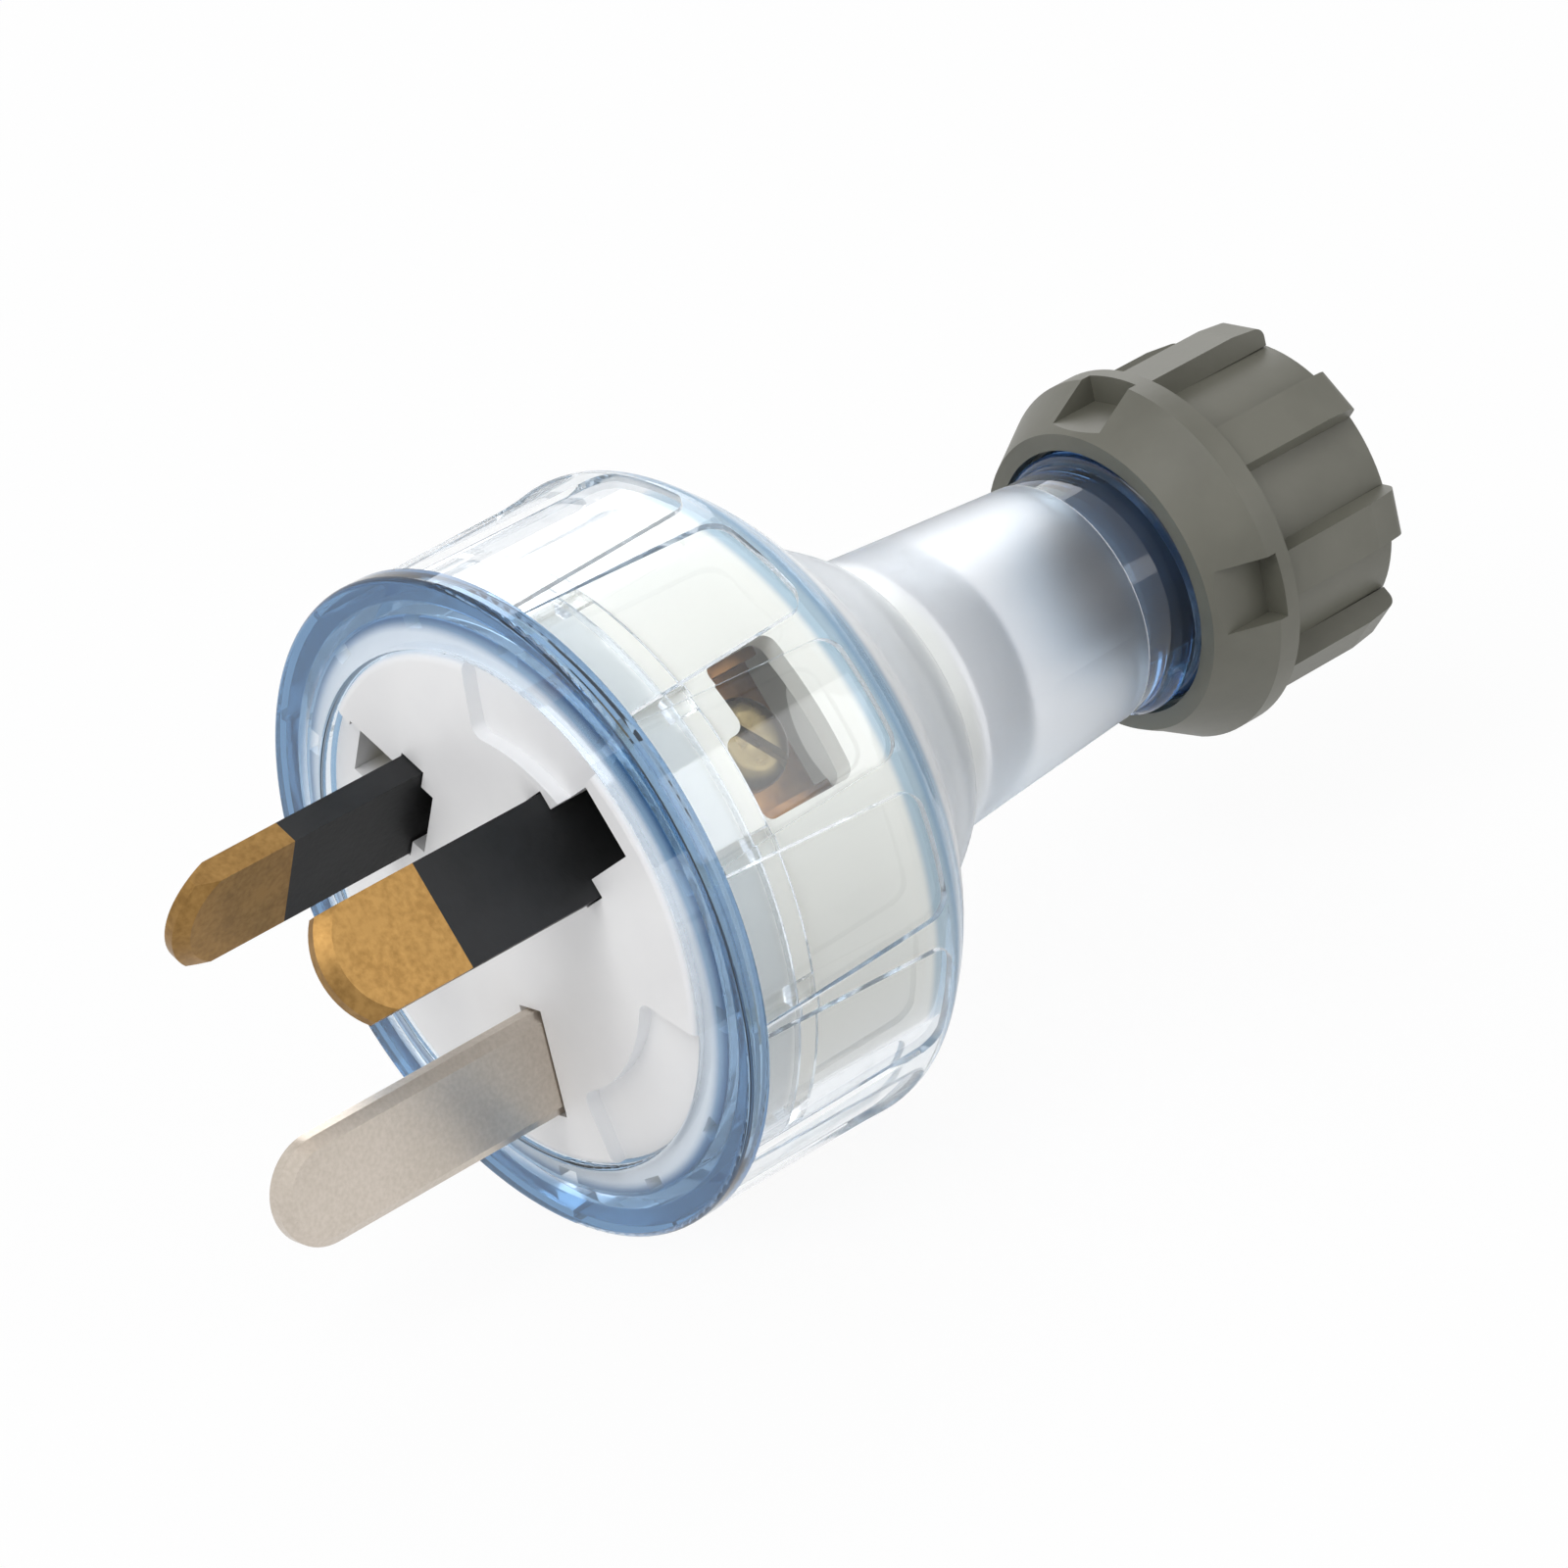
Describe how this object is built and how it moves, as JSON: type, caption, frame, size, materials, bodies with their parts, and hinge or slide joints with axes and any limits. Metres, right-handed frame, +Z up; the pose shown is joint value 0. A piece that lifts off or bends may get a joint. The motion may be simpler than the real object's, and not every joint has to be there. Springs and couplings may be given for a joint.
{
  "type": "electrical plug",
  "caption": "Rewireable mains plug with a clear ribbed barrel, white pin base, sleeved flat line pins, a longer earth pin and a ribbed nut that grips the cord.",
  "frame": {"origin": "middle of the front face, where the plug meets the socket", "axes": "+Y along the plug's axis towards the cord, -Y towards the pin tips, +Z up with the earth pin lowest"},
  "size_m": [0.0392, 0.0784, 0.0392],
  "materials": {
    "clear_plastic": "clear, faintly blue",
    "white_plastic": "satin moulded",
    "brass": "rolled and tumbled",
    "screw_brass": "turned",
    "nickel": "nickel plated",
    "black_plastic": "matt moulded",
    "grey_plastic": "matt moulded",
    "dark_rubber": "matt",
    "washer_plastic": "natural nylon"
  },
  "bodies": {
    "plug": {"shell": "clear_plastic", "front_ring": "clear_plastic", "pin_base": "white_plastic", "terminal_cover": "white_plastic", "active_pin": "brass", "neutral_pin": "brass", "earth_pin": "nickel", "active_sleeve": "black_plastic", "neutral_sleeve": "black_plastic", "active_terminal": "brass", "neutral_terminal": "brass", "earth_terminal": "brass", "active_terminal_screw": "screw_brass", "neutral_terminal_screw": "screw_brass", "earth_terminal_screw": "screw_brass", "cord_grip_bush": "dark_rubber"},
    "washer": {"grip_washer": "washer_plastic"},
    "nut": {"cord_grip_nut": "grey_plastic"}
  },
  "joints": [
    {"name": "nut_turn", "type": "hinge", "parent": "plug", "child": "washer", "pos_m": [0, 0.056, 0], "axis": [0, 1, 0], "range_deg": [0, 1080]},
    {"name": "nut_travel", "type": "slide", "parent": "washer", "child": "nut", "axis": [0, 1, 0], "range_m": [0, 0.00601]}
  ],
  "couplings": [
    {"joint": "nut_travel", "follows": "nut_turn", "m_per_rad": 0.00031831}
  ]
}
